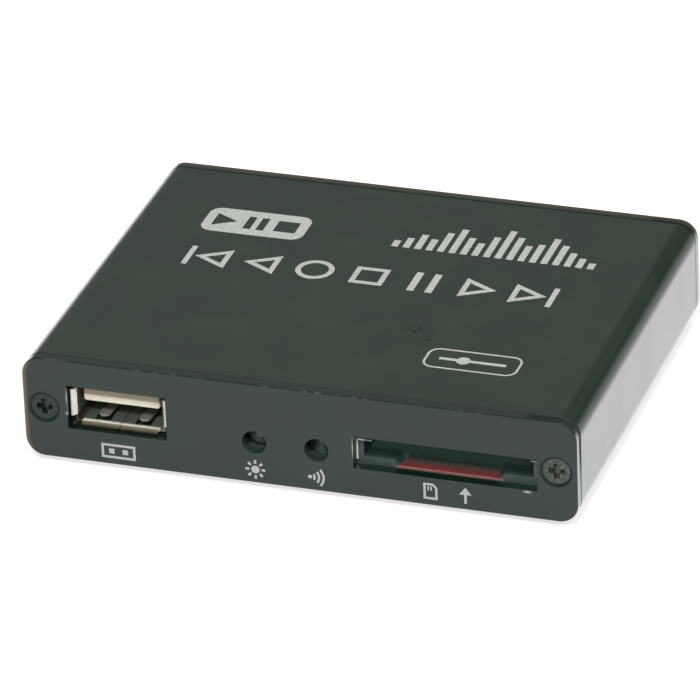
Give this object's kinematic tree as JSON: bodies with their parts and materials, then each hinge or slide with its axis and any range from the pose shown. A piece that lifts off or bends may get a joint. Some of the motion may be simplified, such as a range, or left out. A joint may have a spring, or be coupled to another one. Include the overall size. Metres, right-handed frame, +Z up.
{
  "type": "media player",
  "caption": "Flat pocket media player in a dark extruded aluminium case, with USB and memory card sockets in front and HDMI, AV and power sockets behind.",
  "frame": {"origin": "centre of the footprint on the surface that the feet stand on", "axes": "+X to the right seen from the front, +Y from the front panel to the rear panel, +Z up"},
  "size_m": [0.08, 0.0624, 0.0166],
  "materials": {
    "black_anodised": "near-black satin anodised aluminium",
    "black_steel": "blackened steel",
    "foot_rubber": "matt black rubber",
    "red_board": "red solder mask",
    "plated_steel": "nickel-plated sheet",
    "cream_plastic": "cream moulded plastic",
    "grey_plastic": "dark grey moulded plastic",
    "white_plastic": "white moulded plastic",
    "black_plastic": "black moulded plastic",
    "gilt_contact": "gilt contact strip",
    "spring_steel": "bright spring wire",
    "tinned_metal": "tinned metal",
    "clear_lens": "water-clear lens",
    "dark_lens": "dark filter epoxy",
    "chip_epoxy": "black epoxy",
    "can_metal": "bright drawn can",
    "ferrite": "grey ferrite",
    "ceramic": "tan ceramic"
  },
  "bodies": {
    "player": {"housing_sleeve": "black_anodised", "front_panel": "black_anodised", "rear_panel": "black_anodised", "front_screws": "black_steel", "rear_screws": "black_steel", "rubber_feet": "foot_rubber", "main_board": "red_board", "usb_shell": "plated_steel", "usb_insulator": "cream_plastic", "usb_contacts": "gilt_contact", "sd_base": "grey_plastic", "sd_cover": "plated_steel", "sd_contacts": "gilt_contact", "sd_eject_spring": "spring_steel", "sd_latch_wire": "spring_steel", "hdmi_shell": "plated_steel", "hdmi_insulator": "black_plastic", "hdmi_contacts": "gilt_contact", "av_jack_body": "black_plastic", "av_jack_contacts": "tinned_metal", "dc_jack_body": "black_plastic", "dc_jack_pin": "tinned_metal", "dc_jack_contacts": "tinned_metal", "led_lens": "clear_lens", "led_leads": "tinned_metal", "ir_receiver": "dark_lens", "ir_leads": "tinned_metal", "main_processor": "chip_epoxy", "memory_chip": "chip_epoxy", "flash_chip": "chip_epoxy", "crystal": "can_metal", "voltage_regulators": "chip_epoxy", "power_inductors": "ferrite", "capacitor_cans": "can_metal", "capacitor_bases": "black_plastic", "chip_passives": "ceramic"},
    "card_slider": {"sd_slider": "white_plastic"}
  },
  "joints": [
    {"name": "card_push", "type": "slide", "parent": "player", "child": "card_slider", "axis": [0, 1, 0], "range_m": [0, 0.0045], "stiffness_N_per_m": 300, "springref_m": -0.001, "deforming": ["sd_eject_spring"]}
  ]
}
